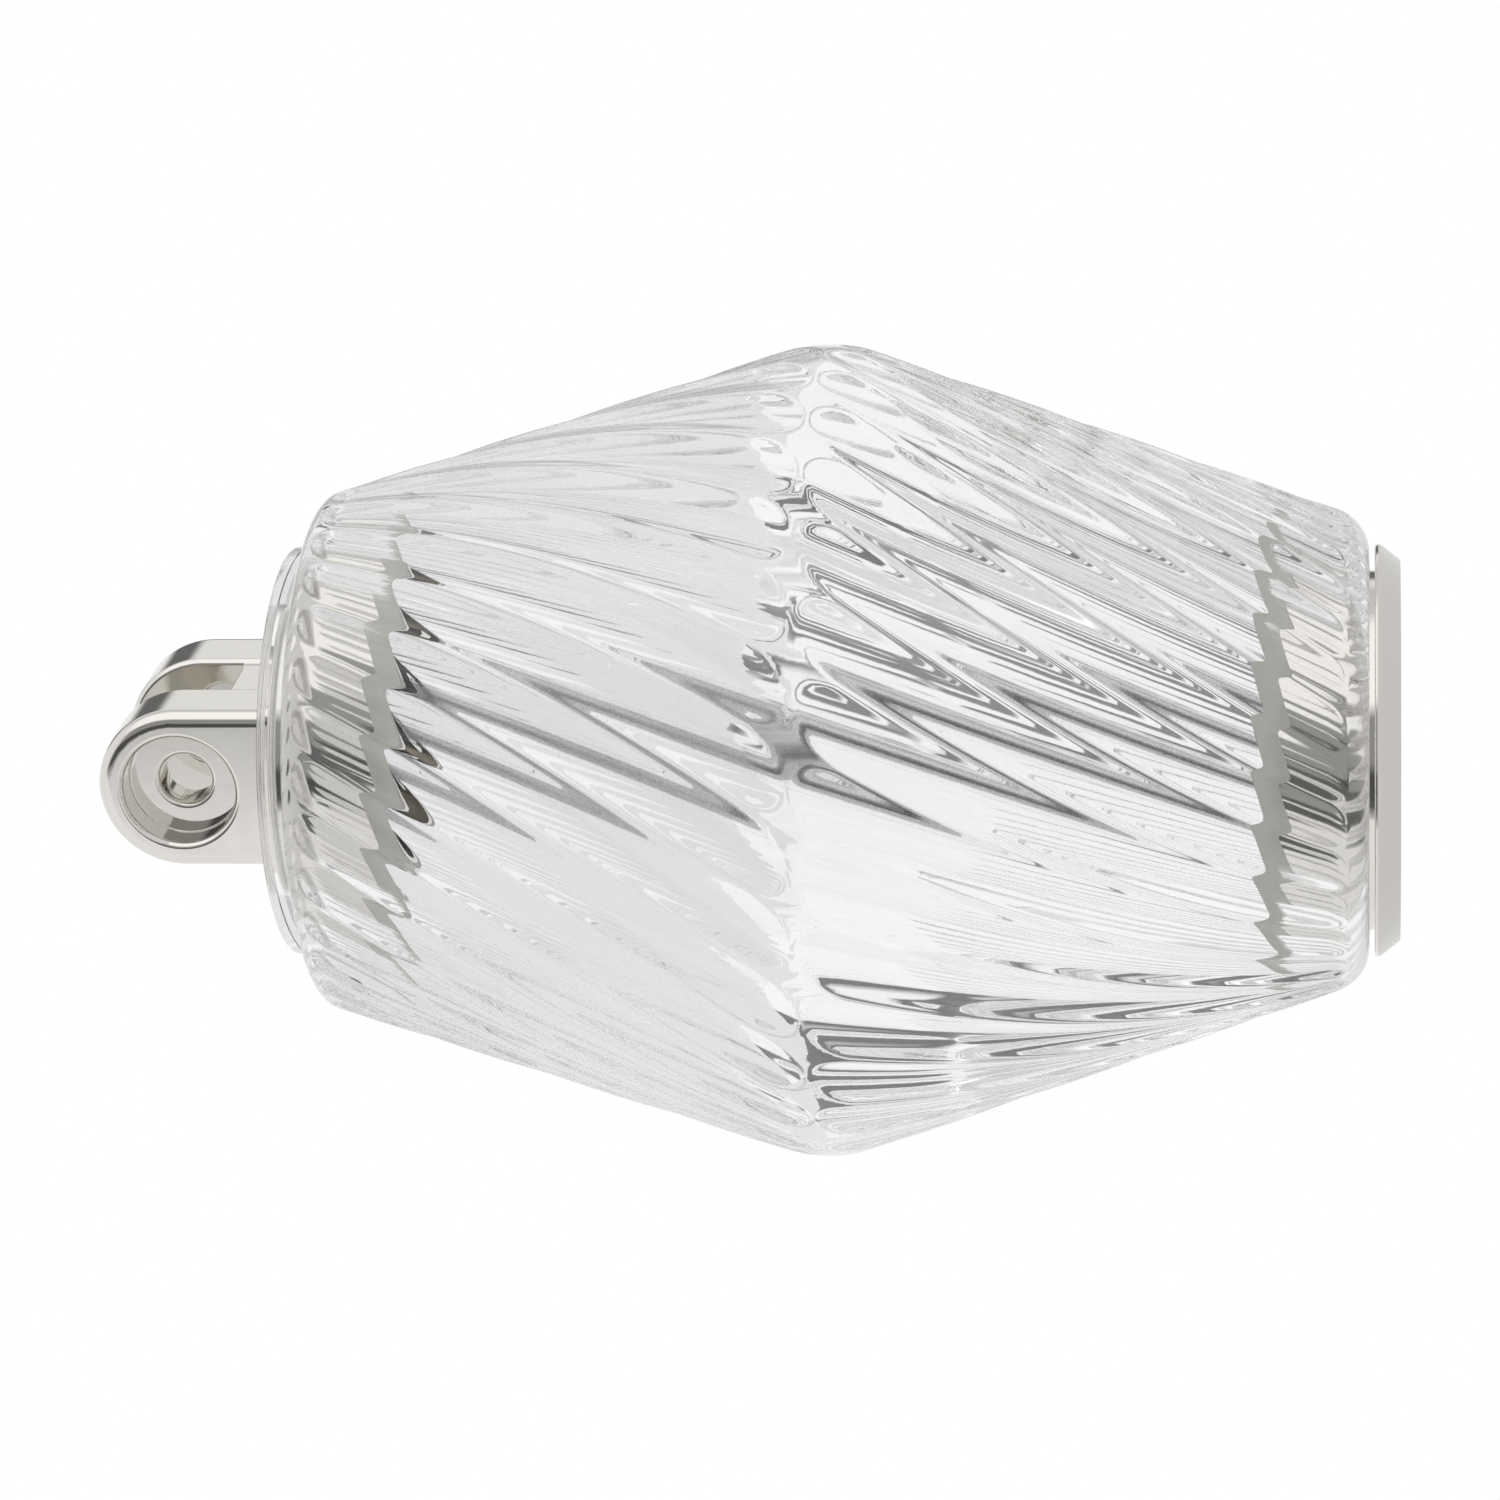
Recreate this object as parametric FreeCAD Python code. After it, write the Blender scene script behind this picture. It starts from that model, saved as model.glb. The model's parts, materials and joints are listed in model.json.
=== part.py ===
import FreeCAD, Part
import math
import os

# Hanging drop ornament: a heavy fluted glass bicone held between two metal plugs by a
# tie rod, hung from a clevis fork that turns on a shoulder screw.  Millimetres, +Z up,
# origin on the axis of the fork's pin bore, which runs along Y.

# ---- driving dimensions ------------------------------------------------------------

# hanger fork
ear_width = 20.5            # across the ear, which ends in a half circle of this width
ear_thickness = 9.0
fork_gap = 9.5              # room for the tongue or link that the ornament hangs from
gap_floor_drop = 5.3        # pin axis down to the floor of the gap
pin_bore_diameter = 6.5
pin_recess_diameter = 14.0  # recess for the pin's head and its nut, one in each ear
pin_recess_depth = 4.0
pin_recess_lip = 0.5
pin_bore_chamfer = 0.4
ear_outer_round = 1.8
ear_inner_chamfer = 0.5
web_set_back = 0.5          # the bridge between the ears is narrower than they are
foot_diameter = 36.0
foot_thickness = 2.3
foot_edge_chamfer = 0.3
foot_drop = 12.7            # pin axis down to the top of the foot

# swivel
shoulder_diameter = 6.0
shoulder_clearance = 0.05   # radial, a running fit
screw_head_diameter = 8.4
screw_head_height = 2.2
screw_head_clearance = 0.3
screw_head_depth = 0.5      # top of the head below the floor of the gap
socket_across_flats = 3.0
socket_depth = 1.3
swivel_thread_diameter = 5.0
swivel_thread_length = 7.0
washer_thickness = 0.6
swivel_play = 0.1           # axial, taken up when the ornament hangs

# clear collar and the round nut that holds it down
collar_diameter = 51.0
collar_rise = 0.2           # rim of the collar above the top of the foot
collar_floor = 1.4
collar_edge_chamfer = 0.3
foot_side_clearance = 0.3
foot_under_clearance = 0.2
collar_nut_diameter = 15.0
collar_nut_thickness = 1.6
collar_nut_clearance = 0.3
spigot_diameter = 10.0
spigot_clearance = 0.1

# glass
glass_length = 129.0
ridge_depth = 63.4          # top end of the glass down to its widest ring
top_corner_radius = 31.9    # where the upper cone would meet the top end
ridge_corner_radius = 51.0  # where the two cones would meet
bottom_corner_radius = 28.1
top_corner_round = 2.6
ridge_round = 18.0
bottom_corner_round = 6.0

# plugs, seal rings and what ties them together
plug_diameter = 44.0
plug_clearance = 0.3        # radial, between the plug and the bore of the glass
plug_depth = 11.0           # down to the seal ring, which sits on the plug's nose
plug_plate = 3.0
nose_wall = 1.8
plug_stand_out = 0.6        # the lower plug stands out of the glass and bears on the disc
seal_length = 3.3
seal_width = 2.6
boss_diameter = 14.0
boss_length = 14.3
rod_diameter = 6.0
rod_clearance = 0.2
rod_engagement = 9.0
tube_clearance = 0.8        # radial, round the rod
tube_wall = 1.2
nut_pocket_diameter = 15.0
nut_pocket_depth = 10.0
nut_across_flats = 10.0
nut_height = 5.0
rod_washer_diameter = 12.5
rod_washer_thickness = 1.2

# end disc
disc_diameter = 50.4
disc_thickness = 3.1
disc_bevel_height = 2.5
disc_bevel_width = 2.0
disc_back_round = 0.25
hub_diameter = 12.0
hub_length = 3.4
rod_end_depth = 1.4         # end of the rod below the back face of the disc
rod_end_clearance = 0.4

# ---- places worked out from them ---------------------------------------------------

fork_width = fork_gap + 2 * ear_thickness
gap_floor_z = -gap_floor_drop
foot_top_z = -foot_drop
foot_bottom_z = foot_top_z - foot_thickness

collar_top_z = foot_top_z + collar_rise
collar_bottom_z = foot_bottom_z - foot_under_clearance - collar_floor
collar_floor_z = collar_bottom_z + collar_floor
collar_nut_top_z = collar_floor_z + collar_nut_thickness

head_top_z = gap_floor_z - screw_head_depth
head_bottom_z = head_top_z - screw_head_height
washer_bottom_z = head_bottom_z - washer_thickness
head_pocket_floor_z = washer_bottom_z - swivel_play
head_pocket_diameter = screw_head_diameter + 2 * screw_head_clearance
shoulder_end_z = collar_nut_top_z

glass_top_z = collar_bottom_z
ridge_z = glass_top_z - ridge_depth
glass_bottom_z = glass_top_z - glass_length
glass_bore_radius = plug_diameter / 2 + plug_clearance
nose_radius = glass_bore_radius - seal_width
nose_inner_radius = nose_radius - nose_wall

upper_shoulder_z = glass_top_z - plug_depth
upper_nose_z = upper_shoulder_z - seal_length
lower_shoulder_z = glass_bottom_z + plug_depth
lower_nose_z = lower_shoulder_z + seal_length
plug_bottom_z = glass_bottom_z - plug_stand_out
upper_boss_z = glass_top_z - boss_length
lower_boss_z = glass_bottom_z + boss_length
nut_pocket_z = plug_bottom_z + nut_pocket_depth
rod_washer_z = nut_pocket_z - rod_washer_thickness
nut_bottom_z = rod_washer_z - nut_height
disc_front_z = plug_bottom_z - disc_thickness
hub_top_z = plug_bottom_z + hub_length
rod_end_z = plug_bottom_z - rod_end_depth
rod_top_z = upper_boss_z + rod_engagement

Z_AXIS = FreeCAD.Vector(0, 0, 1)


# ---- helpers -----------------------------------------------------------------------

def cylinder(diameter, low_z, high_z):
    """Upright cylinder on the axis of the ornament."""
    return Part.makeCylinder(diameter / 2, high_z - low_z, FreeCAD.Vector(0, 0, low_z), Z_AXIS)


def tube(outer_diameter, inner_diameter, low_z, high_z):
    return cylinder(outer_diameter, low_z, high_z).cut(cylinder(inner_diameter, low_z, high_z))


def box(x_low, x_high, y_low, y_high, z_low, z_high):
    corner = FreeCAD.Vector(x_low, y_low, z_low)
    return Part.makeBox(x_high - x_low, y_high - y_low, z_high - z_low, corner)


def hexagon(across_flats, low_z, high_z):
    """Upright hexagonal bar on the axis of the ornament."""
    reach = across_flats / math.sqrt(3)
    corners = []
    for k in range(7):
        angle = math.radians(60 * k)
        corners.append(FreeCAD.Vector(reach * math.cos(angle), reach * math.sin(angle), low_z))
    face = Part.Face(Part.makePolygon(corners))
    return face.extrude(FreeCAD.Vector(0, 0, high_z - low_z))


def turned(corners):
    """Solid of revolution about Z; each corner is (radius, height, rounding of that corner)."""
    count = len(corners)
    starts = []
    ends = []
    middles = []
    for k in range(count):
        here = FreeCAD.Vector(corners[k][0], 0, corners[k][1])
        before = FreeCAD.Vector(corners[k - 1][0], 0, corners[k - 1][1])
        after = FreeCAD.Vector(corners[(k + 1) % count][0], 0, corners[(k + 1) % count][1])
        rounding = corners[k][2]
        to_before = (before - here).normalize()
        to_after = (after - here).normalize()
        half_angle = to_before.getAngle(to_after) / 2
        if rounding > 0:
            reach = rounding / math.tan(half_angle)
            bisector = (to_before + to_after).normalize()
            centre = here + bisector * (rounding / math.sin(half_angle))
            starts.append(here + to_before * reach)
            ends.append(here + to_after * reach)
            middles.append(centre - bisector * rounding)
        else:
            starts.append(here)
            ends.append(here)
            middles.append(None)
    edges = []
    for k in range(count):
        if middles[k] is not None:
            edges.append(Part.Arc(starts[k], middles[k], ends[k]).toShape())
        edges.append(Part.LineSegment(ends[k], starts[(k + 1) % count]).toShape())
    face = Part.Face(Part.Wire(edges))
    return face.revolve(FreeCAD.Vector(0, 0, 0), Z_AXIS, 360)


def save(shape, name):
    solids = shape.Solids
    if len(solids) != 1 or not shape.isValid():
        raise ValueError(name + " is not one valid solid")
    solids[0].exportStep("parts/" + name + ".step")


# ---- hanger fork -------------------------------------------------------------------

def in_plane(edge, y):
    box_of_edge = edge.BoundBox
    return abs(box_of_edge.YMin - y) < 1e-6 and abs(box_of_edge.YMax - y) < 1e-6


def ear_blank(side):
    """One ear; side is +1 or -1 along Y.  Its outer edge is rounded, its inner one eased."""
    inner_y = side * fork_gap / 2
    outer_y = side * fork_width / 2
    radius = ear_width / 2
    left_foot = FreeCAD.Vector(-radius, inner_y, foot_bottom_z)
    right_foot = FreeCAD.Vector(radius, inner_y, foot_bottom_z)
    left_spring = FreeCAD.Vector(-radius, inner_y, 0)
    right_spring = FreeCAD.Vector(radius, inner_y, 0)
    crown = FreeCAD.Vector(0, inner_y, radius)
    outline = [
        Part.LineSegment(left_foot, left_spring).toShape(),
        Part.Arc(left_spring, crown, right_spring).toShape(),
        Part.LineSegment(right_spring, right_foot).toShape(),
        Part.LineSegment(right_foot, left_foot).toShape(),
    ]
    ear = Part.Face(Part.Wire(outline)).extrude(FreeCAD.Vector(0, outer_y - inner_y, 0))
    outer_edges = [e for e in ear.Edges if in_plane(e, outer_y) and e.BoundBox.ZMax > foot_bottom_z + 1]
    ear = ear.makeFillet(ear_outer_round, outer_edges)
    inner_edges = [e for e in ear.Edges if in_plane(e, inner_y) and e.BoundBox.ZMax > foot_bottom_z + 1]
    return ear.makeChamfer(ear_inner_chamfer, inner_edges)


def cross_cylinder(radius, start_y, end_y):
    """Cylinder on the pin axis."""
    direction = FreeCAD.Vector(0, 1 if end_y > start_y else -1, 0)
    return Part.makeCylinder(radius, abs(end_y - start_y), FreeCAD.Vector(0, start_y, 0), direction)


def cross_cone(start_radius, end_radius, start_y, end_y):
    direction = FreeCAD.Vector(0, 1 if end_y > start_y else -1, 0)
    start = FreeCAD.Vector(0, start_y, 0)
    return Part.makeCone(start_radius, end_radius, abs(end_y - start_y), start, direction)


def hanger_fork():
    web_side = ear_width / 2 - web_set_back
    web = box(-web_side, web_side, -fork_gap / 2 - 1, fork_gap / 2 + 1, foot_bottom_z, gap_floor_z)
    foot_radius = foot_diameter / 2
    foot = turned([
        (0, foot_bottom_z, 0),
        (foot_radius - foot_edge_chamfer, foot_bottom_z, 0),
        (foot_radius, foot_bottom_z + foot_edge_chamfer, 0),
        (foot_radius, foot_top_z - foot_edge_chamfer, 0),
        (foot_radius - foot_edge_chamfer, foot_top_z, 0),
        (0, foot_top_z, 0),
    ])
    fork = ear_blank(1).fuse([ear_blank(-1), web, foot]).removeSplitter()
    bore_radius = pin_bore_diameter / 2
    recess_radius = pin_recess_diameter / 2
    cuts = [cross_cylinder(bore_radius, -fork_width / 2, fork_width / 2)]
    for side in (1, -1):
        face_y = side * fork_width / 2
        floor_y = face_y - side * pin_recess_depth
        gap_y = side * fork_gap / 2
        lip_y = face_y - side * pin_recess_lip
        eased_y = floor_y - side * pin_bore_chamfer
        eased_gap_y = gap_y + side * pin_bore_chamfer
        cuts.append(cross_cylinder(recess_radius, face_y, floor_y))
        cuts.append(cross_cone(recess_radius + pin_recess_lip, recess_radius, face_y, lip_y))
        cuts.append(cross_cone(bore_radius + pin_bore_chamfer, bore_radius, floor_y, eased_y))
        cuts.append(cross_cone(bore_radius + pin_bore_chamfer, bore_radius, gap_y, eased_gap_y))
    cuts.append(cylinder(head_pocket_diameter, head_pocket_floor_z, gap_floor_z))
    cuts.append(cylinder(shoulder_diameter + 2 * shoulder_clearance, foot_bottom_z, head_pocket_floor_z))
    nut_pocket_top_z = collar_nut_top_z + collar_nut_clearance
    cuts.append(cylinder(collar_nut_diameter + 2 * collar_nut_clearance, foot_bottom_z, nut_pocket_top_z))
    return fork.cut(cuts)


# ---- swivel ------------------------------------------------------------------------

def swivel_screw():
    head = cylinder(screw_head_diameter, head_bottom_z, head_top_z)
    shoulder = cylinder(shoulder_diameter, shoulder_end_z, head_bottom_z)
    thread = cylinder(swivel_thread_diameter, shoulder_end_z - swivel_thread_length, shoulder_end_z)
    socket = hexagon(socket_across_flats, head_top_z - socket_depth, head_top_z)
    return head.fuse([shoulder, thread]).removeSplitter().cut(socket)


def swivel_washer():
    return tube(screw_head_diameter, shoulder_diameter, washer_bottom_z, head_bottom_z)


# ---- collar ------------------------------------------------------------------------

def clear_collar():
    rim_radius = collar_diameter / 2
    recess_radius = foot_diameter / 2 + foot_side_clearance
    hole_radius = spigot_diameter / 2 + spigot_clearance
    return turned([
        (hole_radius, collar_bottom_z, 0),
        (rim_radius - collar_edge_chamfer, collar_bottom_z, 0),
        (rim_radius, collar_bottom_z + collar_edge_chamfer, 0),
        (rim_radius, collar_top_z - collar_edge_chamfer, 0),
        (rim_radius - collar_edge_chamfer, collar_top_z, 0),
        (recess_radius, collar_top_z, 0),
        (recess_radius, collar_floor_z, 0),
        (hole_radius, collar_floor_z, 0),
    ])


def collar_nut():
    return tube(collar_nut_diameter, spigot_diameter, collar_floor_z, collar_nut_top_z)


# ---- glass -------------------------------------------------------------------------

def glass_body():
    return turned([
        (glass_bore_radius, glass_top_z, 0),
        (top_corner_radius, glass_top_z, top_corner_round),
        (ridge_corner_radius, ridge_z, ridge_round),
        (bottom_corner_radius, glass_bottom_z, bottom_corner_round),
        (glass_bore_radius, glass_bottom_z, 0),
    ])


# ---- plugs and seal rings ----------------------------------------------------------

def upper_plug():
    plug_radius = plug_diameter / 2
    plug = turned([
        (0, collar_nut_top_z, 0),
        (0, upper_boss_z, 0),
        (boss_diameter / 2, upper_boss_z, 0),
        (boss_diameter / 2, glass_top_z - plug_plate, 0),
        (nose_inner_radius, glass_top_z - plug_plate, 0),
        (nose_inner_radius, upper_nose_z, 0),
        (nose_radius, upper_nose_z, 0),
        (nose_radius, upper_shoulder_z, 0),
        (plug_radius, upper_shoulder_z, 0),
        (plug_radius, glass_top_z, 0),
        (spigot_diameter / 2, glass_top_z, 0),
        (spigot_diameter / 2, collar_nut_top_z, 0),
    ])
    screw_hole = cylinder(swivel_thread_diameter, shoulder_end_z - swivel_thread_length, shoulder_end_z)
    rod_hole = cylinder(rod_diameter, upper_boss_z, rod_top_z)
    return plug.cut([screw_hole, rod_hole])


def lower_plug():
    plug_radius = plug_diameter / 2
    bore_radius = rod_diameter / 2 + rod_clearance
    pocket_radius = nut_pocket_diameter / 2
    shell_radius = pocket_radius + nose_wall
    return turned([
        (bore_radius, lower_boss_z, 0),
        (bore_radius, nut_pocket_z, 0),
        (pocket_radius, nut_pocket_z, 0),
        (pocket_radius, plug_bottom_z, 0),
        (plug_radius, plug_bottom_z, 0),
        (plug_radius, lower_shoulder_z, 0),
        (nose_radius, lower_shoulder_z, 0),
        (nose_radius, lower_nose_z, 0),
        (nose_inner_radius, lower_nose_z, 0),
        (nose_inner_radius, plug_bottom_z + plug_plate, 0),
        (shell_radius, plug_bottom_z + plug_plate, 0),
        (shell_radius, lower_boss_z, 0),
    ])


def seal_ring(low_z):
    return tube(2 * glass_bore_radius, 2 * nose_radius, low_z, low_z + seal_length)


# ---- tie ---------------------------------------------------------------------------

def tie_rod():
    return cylinder(rod_diameter, rod_end_z, rod_top_z)


def spacer_tube():
    inner_diameter = rod_diameter + 2 * tube_clearance
    return tube(inner_diameter + 2 * tube_wall, inner_diameter, lower_boss_z, upper_boss_z)


def rod_washer():
    return tube(rod_washer_diameter, rod_diameter, rod_washer_z, nut_pocket_z)


def rod_nut():
    return hexagon(nut_across_flats, nut_bottom_z, rod_washer_z).cut(
        cylinder(rod_diameter, nut_bottom_z, rod_washer_z))


def end_disc():
    back_radius = disc_diameter / 2
    front_radius = back_radius - disc_bevel_width
    disc = turned([
        (0, disc_front_z, 0),
        (front_radius, disc_front_z, 0),
        (back_radius, disc_front_z + disc_bevel_height, 0),
        (back_radius, plug_bottom_z, disc_back_round),
        (hub_diameter / 2, plug_bottom_z, 0),
        (hub_diameter / 2, hub_top_z, 0),
        (0, hub_top_z, 0),
    ])
    return disc.cut(cylinder(rod_diameter, rod_end_z - rod_end_clearance, hub_top_z))


# ---- build every node --------------------------------------------------------------

os.makedirs("parts", exist_ok=True)

nodes = {
    "hanger_fork": hanger_fork(),
    "swivel_screw": swivel_screw(),
    "swivel_washer": swivel_washer(),
    "clear_collar": clear_collar(),
    "collar_nut": collar_nut(),
    "glass_body": glass_body(),
    "upper_plug": upper_plug(),
    "upper_seal_ring": seal_ring(upper_nose_z),
    "spacer_tube": spacer_tube(),
    "tie_rod": tie_rod(),
    "lower_plug": lower_plug(),
    "lower_seal_ring": seal_ring(lower_shoulder_z),
    "rod_washer": rod_washer(),
    "rod_nut": rod_nut(),
    "end_disc": end_disc(),
}

for name, shape in nodes.items():
    save(shape, name)
    print(name, round(shape.Volume, 1))
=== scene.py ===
import json
import math

import bmesh
import bpy
from mathutils import Matrix, Vector


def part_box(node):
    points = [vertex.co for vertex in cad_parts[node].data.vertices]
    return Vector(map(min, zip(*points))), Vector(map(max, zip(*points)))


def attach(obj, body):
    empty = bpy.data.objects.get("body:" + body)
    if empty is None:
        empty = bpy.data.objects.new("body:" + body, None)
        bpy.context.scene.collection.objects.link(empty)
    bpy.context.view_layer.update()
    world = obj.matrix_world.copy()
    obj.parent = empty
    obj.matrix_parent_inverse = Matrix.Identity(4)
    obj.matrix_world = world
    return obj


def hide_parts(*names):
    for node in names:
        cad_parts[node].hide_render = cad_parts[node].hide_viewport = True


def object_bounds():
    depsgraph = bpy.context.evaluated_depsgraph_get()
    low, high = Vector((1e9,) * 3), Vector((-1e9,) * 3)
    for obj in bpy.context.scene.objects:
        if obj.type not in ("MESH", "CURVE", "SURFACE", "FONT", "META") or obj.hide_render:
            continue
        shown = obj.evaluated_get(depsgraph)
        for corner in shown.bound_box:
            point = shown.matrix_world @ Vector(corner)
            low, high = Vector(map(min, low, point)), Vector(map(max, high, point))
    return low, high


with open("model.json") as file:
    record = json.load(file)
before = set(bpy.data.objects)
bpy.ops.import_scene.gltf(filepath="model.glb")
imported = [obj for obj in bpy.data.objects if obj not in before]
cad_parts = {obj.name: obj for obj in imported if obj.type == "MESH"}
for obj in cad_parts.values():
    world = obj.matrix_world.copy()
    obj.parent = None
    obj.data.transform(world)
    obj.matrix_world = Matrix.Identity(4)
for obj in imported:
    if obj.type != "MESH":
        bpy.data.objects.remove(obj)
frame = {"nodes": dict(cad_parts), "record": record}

MM = 0.001
MERGE_DISTANCE = 0.001 * MM
HARD_EDGE = math.radians(28)
FLAT_ANGLE = math.radians(0.5)
CONTACT_GAP = 0.05 * MM     # film of air between the glass and what touches it
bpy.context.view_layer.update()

# ---- sizes of the glass, as the design has them --------------------------------------

glass_low, glass_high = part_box("glass_body")
GLASS_TOP_Z = glass_high.z
GLASS_BOTTOM_Z = glass_low.z
RIDGE_Z = GLASS_TOP_Z - 63.4 * MM
TOP_CORNER_RADIUS = 31.9 * MM
RIDGE_CORNER_RADIUS = 51.0 * MM
BOTTOM_CORNER_RADIUS = 28.1 * MM
TOP_CORNER_ROUND = 2.6 * MM
RIDGE_ROUND = 18.0 * MM
BOTTOM_CORNER_ROUND = 6.0 * MM
BORE_RADIUS = 22.3 * MM

FLUTE_COUNT = 32
STEPS_PER_FLUTE = 16
FLUTE_DEPTH = 0.85 * MM
FLUTE_START = 1.8 * MM      # end of the glass to where the middle of a flute begins
FLUTE_FULL = 4.8 * MM       # end of the glass to where the flutes meet in arrises
ARRIS_ROUND = 0.22          # share of the half flute taken up by the rounding of its arris
ARRIS_CROWDING = 0.6        # how much closer the mesh's lines lie on the arrises
FLUTE_SLOPE = 0.52          # tangent of the angle between a flute and the glass's meridian
CONE_STEP = 1.25 * MM       # spacing of the rings that carry the flutes
END_STEP = 0.35 * MM        # the same where the flutes run out at the ends
BORE_STEP = 10.0 * MM
ROUNDING_STEP = 0.6 * MM    # spacing of the rings round the rounded corners


# ---- mesh helpers --------------------------------------------------------------------

def rounded_outline(corners, arc_step):
    """Points of an open outline of (radius, z, rounding) corners, rounded where they say so."""
    points = []
    for k, (radius, z, rounding) in enumerate(corners):
        here = Vector((radius, z))
        if rounding == 0:
            points.append(here)
            continue
        before = Vector(corners[k - 1][:2])
        after = Vector(corners[k + 1][:2])
        to_before = (before - here).normalized()
        to_after = (after - here).normalized()
        half_angle = to_before.angle(to_after) / 2
        start = here + to_before * (rounding / math.tan(half_angle))
        centre = here + (to_before + to_after).normalized() * (rounding / math.sin(half_angle))
        sweep = math.pi - 2 * half_angle
        turn = sweep if (start - centre).cross(here - centre) > 0 else -sweep
        steps = max(2, round(abs(turn) * rounding / arc_step))
        for step in range(steps + 1):
            points.append(centre + Matrix.Rotation(turn * step / steps, 2) @ (start - centre))
    return points


def divided(points, step_at):
    """The same outline with points added; step_at gives their greatest spacing at a place."""
    result = [points[0]]
    for a, b in zip(points, points[1:]):
        pieces = max(1, math.ceil((b - a).length / step_at((a + b) / 2) - 1e-6))
        for k in range(1, pieces + 1):
            result.append(a.lerp(b, k / pieces))
    return result


def turned(bm, points, closed, sectors, steps, shape=None):
    """Turns an outline of (radius, z) points about Z: one sector, shaped if asked, then its copies."""
    verts = [bm.verts.new((p.x, 0, p.y)) for p in points]
    edges = [bm.edges.new(pair) for pair in zip(verts, verts[1:])]
    if closed:
        edges.append(bm.edges.new((verts[-1], verts[0])))
    sector = 2 * math.pi / sectors
    bmesh.ops.spin(bm, geom=verts + edges, cent=(0, 0, 0), axis=(0, 0, 1), dvec=(0, 0, 0),
                   angle=sector, steps=steps, use_merge=False, use_duplicate=False)
    if shape:
        for vert in bm.verts:
            shape(vert)
    first = bm.verts[:] + bm.edges[:] + bm.faces[:]
    for k in range(1, sectors):
        copy = bmesh.ops.duplicate(bm, geom=first)["geom"]
        copied = [part for part in copy if isinstance(part, bmesh.types.BMVert)]
        bmesh.ops.rotate(bm, verts=copied, cent=(0, 0, 0), matrix=Matrix.Rotation(k * sector, 3, "Z"))
    bmesh.ops.remove_doubles(bm, verts=bm.verts, dist=MERGE_DISTANCE)
    bmesh.ops.recalc_face_normals(bm, faces=bm.faces)


def finish_piece(bm, name, material, body, replaced=(), smooth_below=30):
    """Makes the object, smooth but for its sharp edges, and hangs it on its body."""
    mesh = bpy.data.meshes.new(name)
    bm.to_mesh(mesh)
    bm.free()
    mesh.polygons.foreach_set("use_smooth", [True] * len(mesh.polygons))
    mesh.set_sharp_from_angle(angle=math.radians(smooth_below))
    mesh.materials.append(material)
    piece = bpy.data.objects.new(name, mesh)
    bpy.context.scene.collection.objects.link(piece)
    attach(piece, body)
    if replaced:
        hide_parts(*replaced)
    return piece


# ---- materials -----------------------------------------------------------------------

COLOUR_DETAIL = 3.0
GRAIN_DETAIL = 4.0
GRAIN_LOW = 0.3             # range of the grain's noise that the roughnesses are spread over
GRAIN_HIGH = 0.7
CLEAR_DRIFT = 35.0          # waves per metre of the slow change of colour
METAL_DRIFT = 60.0
MATT_DRIFT = 90.0
MATT_GRAIN = 900.0


def worn_surface():
    """Node group: slow drift between two colours and two roughnesses, and a fine grain for bump."""
    group = bpy.data.node_groups.new("worn_surface", "ShaderNodeTree")
    for name, kind in (("Colour A", "Color"), ("Colour B", "Color"), ("Roughness A", "Float"),
                       ("Roughness B", "Float"), ("Drift", "Float"), ("Grain", "Float")):
        group.interface.new_socket(name, in_out="INPUT", socket_type="NodeSocket" + kind)
    for name, kind in (("Colour", "Color"), ("Roughness", "Float"), ("Height", "Float")):
        group.interface.new_socket(name, in_out="OUTPUT", socket_type="NodeSocket" + kind)
    nodes, links = group.nodes, group.links
    given = nodes.new("NodeGroupInput").outputs
    result = nodes.new("NodeGroupOutput").inputs
    place = nodes.new("ShaderNodeTexCoord").outputs["Object"]

    def noise(scale, detail):
        node = nodes.new("ShaderNodeTexNoise")
        node.inputs["Detail"].default_value = detail
        links.new(place, node.inputs["Vector"])
        links.new(scale, node.inputs["Scale"])
        return node.outputs["Fac"]

    colour = nodes.new("ShaderNodeMix")
    colour.data_type = "RGBA"
    links.new(noise(given["Drift"], COLOUR_DETAIL), colour.inputs["Factor"])
    links.new(given["Colour A"], colour.inputs[6])
    links.new(given["Colour B"], colour.inputs[7])
    links.new(colour.outputs[2], result["Colour"])
    rough = nodes.new("ShaderNodeMapRange")
    rough.inputs["From Min"].default_value = GRAIN_LOW
    rough.inputs["From Max"].default_value = GRAIN_HIGH
    grain = noise(given["Grain"], GRAIN_DETAIL)
    links.new(grain, rough.inputs["Value"])
    links.new(given["Roughness A"], rough.inputs["To Min"])
    links.new(given["Roughness B"], rough.inputs["To Max"])
    links.new(rough.outputs[0], result["Roughness"])
    links.new(grain, result["Height"])
    return group


def new_material(name, colours, roughnesses, drift, grain, relief):
    """Principled material on the worn surface; relief is the height of its grain."""
    material = bpy.data.materials.new(name)
    material.use_nodes = True
    nodes, links = material.node_tree.nodes, material.node_tree.links
    shader = nodes["Principled BSDF"]
    surface = nodes.new("ShaderNodeGroup")
    surface.node_tree = worn
    surface.inputs["Colour A"].default_value = (*colours[0], 1)
    surface.inputs["Colour B"].default_value = (*colours[1], 1)
    surface.inputs["Roughness A"].default_value = roughnesses[0]
    surface.inputs["Roughness B"].default_value = roughnesses[1]
    surface.inputs["Drift"].default_value = drift
    surface.inputs["Grain"].default_value = grain
    bump = nodes.new("ShaderNodeBump")
    bump.inputs["Strength"].default_value = 1.0
    bump.inputs["Distance"].default_value = relief
    links.new(surface.outputs["Colour"], shader.inputs["Base Color"])
    links.new(surface.outputs["Roughness"], shader.inputs["Roughness"])
    links.new(surface.outputs["Height"], bump.inputs["Height"])
    links.new(bump.outputs["Normal"], shader.inputs["Normal"])
    return material, shader


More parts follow.
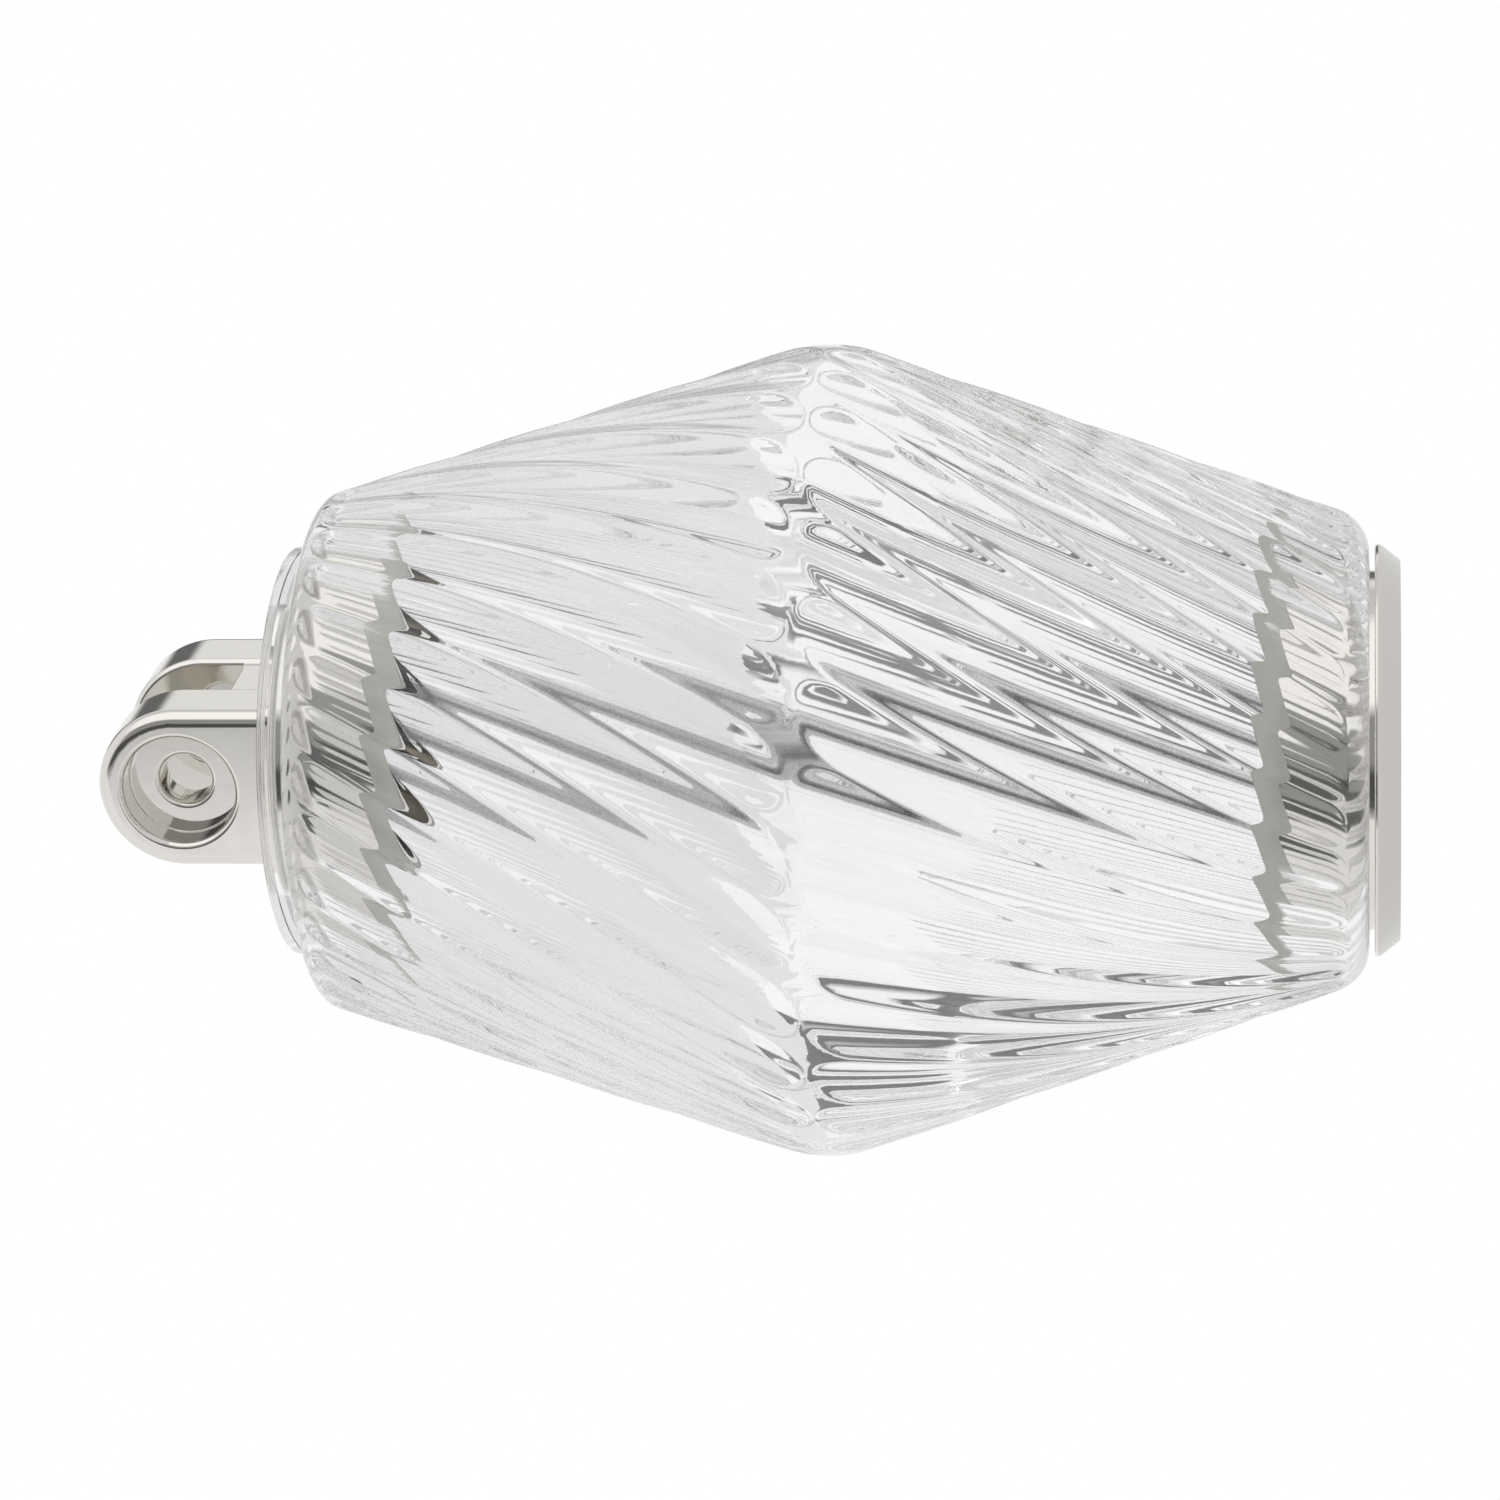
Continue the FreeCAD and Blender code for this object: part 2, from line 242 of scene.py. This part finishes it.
def clear_material(name, tints, roughnesses, ior, grain, relief):
    material, shader = new_material(name, tints, roughnesses, CLEAR_DRIFT, grain, relief)
    shader.inputs["IOR"].default_value = ior
    shader.inputs["Transmission Weight"].default_value = 1.0
    return material


def metal_material(name, colours, roughnesses, grain, relief):
    material, shader = new_material(name, colours, roughnesses, METAL_DRIFT, grain, relief)
    shader.inputs["Metallic"].default_value = 1.0
    return material


def matt_material(name, colours, roughnesses, relief):
    return new_material(name, colours, roughnesses, MATT_DRIFT, MATT_GRAIN, relief)[0]


worn = worn_surface()
glass = clear_material("clear_glass", ((0.965, 0.97, 0.975), (0.985, 0.985, 0.98)), (0.008, 0.03),
                       1.5, 130.0, 0.03 * MM)
acrylic = clear_material("clear_acrylic", ((0.985, 0.99, 0.99), (0.97, 0.975, 0.975)), (0.01, 0.05),
                         1.49, 300.0, 0.004 * MM)
nickel = metal_material("polished_nickel", ((0.78, 0.76, 0.72), (0.72, 0.70, 0.66)), (0.04, 0.09),
                        420.0, 0.0025 * MM)
steel = metal_material("plain_steel", ((0.62, 0.62, 0.61), (0.52, 0.52, 0.52)), (0.2, 0.34),
                       1500.0, 0.01 * MM)
silicone = matt_material("pale_silicone", ((0.86, 0.84, 0.78), (0.78, 0.76, 0.70)), (0.62, 0.78),
                         0.02 * MM)
nylon = matt_material("nylon", ((0.82, 0.81, 0.77), (0.75, 0.74, 0.69)), (0.42, 0.58), 0.01 * MM)
backdrop = matt_material("floor_white", ((0.93, 0.93, 0.93), (0.91, 0.91, 0.91)), (0.75, 0.85),
                         0.1 * MM)


# ---- the fluted glass ----------------------------------------------------------------

def from_end(z):
    """Distance from height z to the nearer end of the glass."""
    return min(GLASS_TOP_Z - z, z - GLASS_BOTTOM_Z)


def outline_step(place):
    if place.x < cone_radius(place.y) - TOP_CORNER_ROUND:
        return BORE_STEP
    return END_STEP if from_end(place.y) < FLUTE_FULL else CONE_STEP


def glass_outline():
    """Half section of the glass: down the outside, then up the bore."""
    upper_full_z = GLASS_TOP_Z - FLUTE_FULL
    lower_full_z = GLASS_BOTTOM_Z + FLUTE_FULL
    outline = rounded_outline([
        (BORE_RADIUS, GLASS_TOP_Z, 0),
        (TOP_CORNER_RADIUS, GLASS_TOP_Z, TOP_CORNER_ROUND),
        (cone_radius(upper_full_z), upper_full_z, 0),
        (RIDGE_CORNER_RADIUS, RIDGE_Z, RIDGE_ROUND),
        (cone_radius(lower_full_z), lower_full_z, 0),
        (BOTTOM_CORNER_RADIUS, GLASS_BOTTOM_Z, BOTTOM_CORNER_ROUND),
        (BORE_RADIUS, GLASS_BOTTOM_Z, 0),
        (BORE_RADIUS, GLASS_TOP_Z, 0),
    ], ROUNDING_STEP)
    return divided(outline, outline_step)[:-1]


def flute_cut(phase):
    """Share of the flute's depth at a place across it: all in its middle, none on the arrises."""
    across = abs(2 * phase - 1)
    edge = 1 - ARRIS_ROUND
    if across < edge:
        return 1 - across * across / edge
    into = across - edge
    return 1 - edge - 2 * into + into * into / ARRIS_ROUND


def cone_turn(end_radius, end_z, z):
    """Turn of a flute round the cone between the ridge and one end, from the ridge to z."""
    slope = (RIDGE_CORNER_RADIUS - end_radius) / abs(RIDGE_Z - end_z)
    here = RIDGE_CORNER_RADIUS - slope * abs(RIDGE_Z - z)
    return FLUTE_SLOPE / slope * math.log(RIDGE_CORNER_RADIUS / here)


def twist_at(z):
    """Turn of a flute at height z, none at the ridge; it keeps a constant slope to the meridian."""
    if z > RIDGE_Z:
        return cone_turn(TOP_CORNER_RADIUS, GLASS_TOP_Z, z)
    return -cone_turn(BOTTOM_CORNER_RADIUS, GLASS_BOTTOM_Z, z)


def cone_radius(z):
    """Radius of the plain double cone at height z."""
    end_radius = TOP_CORNER_RADIUS if z > RIDGE_Z else BOTTOM_CORNER_RADIUS
    end_z = GLASS_TOP_Z if z > RIDGE_Z else GLASS_BOTTOM_Z
    return RIDGE_CORNER_RADIUS + (end_radius - RIDGE_CORNER_RADIUS) * (RIDGE_Z - z) / (RIDGE_Z - end_z)


def draw_flute(vert):
    """Cuts one flute's sector of the outside down to the hollow flute and twists it round the glass."""
    radius = Vector(vert.co.xy).length
    phase = math.atan2(vert.co.y, vert.co.x) / (2 * math.pi) * FLUTE_COUNT
    phase -= ARRIS_CROWDING * math.sin(2 * math.pi * phase) / (2 * math.pi)
    if radius > BORE_RADIUS + MERGE_DISTANCE:
        run_out = max(0.0, FLUTE_FULL - from_end(vert.co.z)) / (FLUTE_FULL - FLUTE_START)
        floor = cone_radius(vert.co.z) + FLUTE_DEPTH * (run_out * run_out - flute_cut(phase))
        radius = min(radius, floor)
    angle = phase * 2 * math.pi / FLUTE_COUNT + twist_at(vert.co.z)
    vert.co.xy = (radius * math.cos(angle), radius * math.sin(angle))


def fluted_glass():
    bm = bmesh.new()
    turned(bm, glass_outline(), True, FLUTE_COUNT, STEPS_PER_FLUTE, draw_flute)
    return finish_piece(bm, "fluted_glass", glass, "drop", ["glass_body"])


fluted_glass()

# ---- finishes of the design's own parts ----------------------------------------------

finishes = {
    "polished_nickel": nickel,
    "plain_steel": steel,
    "clear_acrylic": acrylic,
    "pale_silicone": silicone,
    "nylon": nylon,
    "clear_glass": glass,
}
slots = {part["node"]: part["material_slot"] for part in frame["record"]["subparts"]}
for name, slot in slots.items():
    node = frame["nodes"][name]
    node.data.materials.clear()
    node.data.materials.append(finishes[slot])


def body_of(name):
    bodies = frame["record"]["behaviour"]["bodies"]
    return next(body for body, members in bodies.items() if name in members)


def ease_off_glass(vert):
    """Moves a place that lies on the glass's top end or on its bore off it by the film of air."""
    radius = Vector(vert.co.xy).length
    if abs(vert.co.z - GLASS_TOP_Z) < MERGE_DISTANCE:
        vert.co.z += CONTACT_GAP
    if abs(radius - BORE_RADIUS) < MERGE_DISTANCE:
        vert.co.xy *= 1 - CONTACT_GAP / radius


def softened(name, width):
    """Merged copy of one of the design's parts with its hard edges eased, so that they catch light."""
    node = frame["nodes"][name]
    bm = bmesh.new()
    bm.from_mesh(node.data)
    bm.transform(node.matrix_world)
    bmesh.ops.remove_doubles(bm, verts=bm.verts, dist=MERGE_DISTANCE)
    for vert in bm.verts:
        ease_off_glass(vert)
    bmesh.ops.dissolve_limit(bm, angle_limit=FLAT_ANGLE, verts=bm.verts, edges=bm.edges)
    hard = [edge for edge in bm.edges if edge.calc_face_angle(0) > HARD_EDGE]
    bmesh.ops.bevel(bm, geom=hard, offset=width, offset_type="OFFSET", affect="EDGES", segments=3,
                    profile=0.5, material=-1, clamp_overlap=True)
    slot = slots[name]
    piece = finish_piece(bm, name + "_softened", finishes[slot], body_of(name), [name])
    piece.modifiers.new("flat faces stay flat", "WEIGHTED_NORMAL").keep_sharp = True


softened("hanger_fork", 0.22 * MM)
softened("end_disc", 0.2 * MM)
softened("clear_collar", 0.12 * MM)
softened("upper_seal_ring", 0.15 * MM)
softened("lower_seal_ring", 0.15 * MM)


# ---- camera --------------------------------------------------------------------------

CAMERA_AZIMUTH = math.radians(22)
CAMERA_ELEVATION = math.radians(-7)
CAMERA_DISTANCE = 0.63
CAMERA_LENS = 122
SENSOR_WIDTH = 36
AIM = Vector((0, 0, -69.35 * MM))


def add_camera():
    """The ornament lies across the picture, fork to the left, so the camera is rolled."""
    back = Vector((math.sin(CAMERA_AZIMUTH) * math.cos(CAMERA_ELEVATION),
                   -math.cos(CAMERA_AZIMUTH) * math.cos(CAMERA_ELEVATION),
                   math.sin(CAMERA_ELEVATION)))
    down = Vector((0, 0, -1))
    right = (down - back * down.dot(back)).normalized()
    up = back.cross(right)
    turn = Matrix((right, up, back)).transposed()
    data = bpy.data.cameras.new("camera")
    data.lens = CAMERA_LENS
    data.sensor_width = SENSOR_WIDTH
    camera = bpy.data.objects.new("camera", data)
    camera.matrix_world = Matrix.Translation(AIM + back * CAMERA_DISTANCE) @ turn.to_4x4()
    bpy.context.scene.collection.objects.link(camera)
    bpy.context.scene.camera = camera


add_camera()


# ---- studio --------------------------------------------------------------------------

FLOOR_DROP = 0.10
FLOOR_RADIUS = 2.4
FLOOR_SIDES = 96
ROOM_TONE = 0.93
PANEL_TOP = 0.75            # sine of the height above which the studio is plain
PANEL_FADE = 0.15
# Panels round the ornament: angle from the camera, towards the top of the picture, and tone
PANELS = [
    (-180, 0.93), (-60, 0.97), (-45.0, 0.97), (-44.2, 0.66), (-42, 0.50), (-36, 0.10), (-16, 0.08),
    (-8, 0.32), (20, 0.34), (30, 1.20), (86, 1.20), (98, 0.74), (122, 0.68), (131, 0.92), (140, 0.92),
    (144, 0.16), (158, 0.16), (166, 0.93), (180, 0.93),
]


def add_floor():
    """Pale floor well below the hung ornament."""
    bm = bmesh.new()
    bmesh.ops.create_circle(bm, cap_ends=True, segments=FLOOR_SIDES, radius=FLOOR_RADIUS)
    mesh = bpy.data.meshes.new("floor")
    bm.to_mesh(mesh)
    bm.free()
    mesh.transform(Matrix.Translation((0, 0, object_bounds()[0].z - FLOOR_DROP)))
    mesh.materials.append(backdrop)
    floor = bpy.data.objects.new("floor", mesh)
    bpy.context.scene.collection.objects.link(floor)


def set_world():
    """White for the camera.  The glass and metal see a studio of upright panels, some of them dark."""
    world = bpy.data.worlds.new("studio")
    bpy.context.scene.world = world
    world.use_nodes = True
    tree = world.node_tree
    nodes, links = tree.nodes, tree.links
    background = nodes["Background"]
    direction = nodes.new("ShaderNodeTexCoord").outputs["Generated"]

    def along(axis):
        dot = nodes.new("ShaderNodeVectorMath")
        dot.operation = "DOT_PRODUCT"
        dot.inputs[1].default_value = axis
        links.new(direction, dot.inputs[0])
        return dot.outputs["Value"]

    def combine(operation, first, second):
        node = nodes.new("ShaderNodeMath")
        node.operation = operation
        for socket, value in zip(node.inputs, (first, second)):
            if isinstance(value, (int, float)):
                socket.default_value = value
            else:
                links.new(value, socket)
        return node.outputs[0]

    def blended(factor, first, second):
        mix = nodes.new("ShaderNodeMix")
        mix.data_type = "RGBA"
        links.new(factor, mix.inputs["Factor"])
        for socket, value in ((mix.inputs[6], first), (mix.inputs[7], second)):
            if isinstance(value, tuple):
                socket.default_value = value
            else:
                links.new(value, socket)
        return mix.outputs[2]

    front = along((math.sin(CAMERA_AZIMUTH), -math.cos(CAMERA_AZIMUTH), 0))
    side = along((math.cos(CAMERA_AZIMUTH), math.sin(CAMERA_AZIMUTH), 0))
    turn = combine("ARCTAN2", side, front)
    place = combine("MULTIPLY_ADD", turn, 1 / (2 * math.pi))
    nodes[-1].inputs[2].default_value = 0.5
    ramp = nodes.new("ShaderNodeValToRGB")
    links.new(place, ramp.inputs[0])
    stops = ramp.color_ramp.elements
    stops.remove(stops[-1])
    stops[0].position = 0
    for k, (angle, tone) in enumerate(PANELS):
        stop = stops.new(angle / 360 + 0.5) if k else stops[0]
        stop.color = (tone, tone, tone, 1)
    height = combine("ABSOLUTE", along((0, 0, 1)), 0.0)
    overhead = nodes.new("ShaderNodeMapRange")
    overhead.inputs["From Min"].default_value = PANEL_TOP
    overhead.inputs["From Max"].default_value = PANEL_TOP + PANEL_FADE
    links.new(height, overhead.inputs["Value"])
    studio = blended(overhead.outputs[0], ramp.outputs[0], (ROOM_TONE, ROOM_TONE, ROOM_TONE, 1))
    seen = nodes.new("ShaderNodeLightPath").outputs["Is Camera Ray"]
    links.new(blended(seen, studio, (1, 1, 1, 1)), background.inputs["Color"])


add_floor()
set_world()

scene = bpy.context.scene
scene.view_settings.view_transform = "Standard"
scene.cycles.use_denoising = True
scene.cycles.max_bounces = 24
scene.cycles.transmission_bounces = 24
scene.cycles.glossy_bounces = 12
scene.cycles.transparent_max_bounces = 16
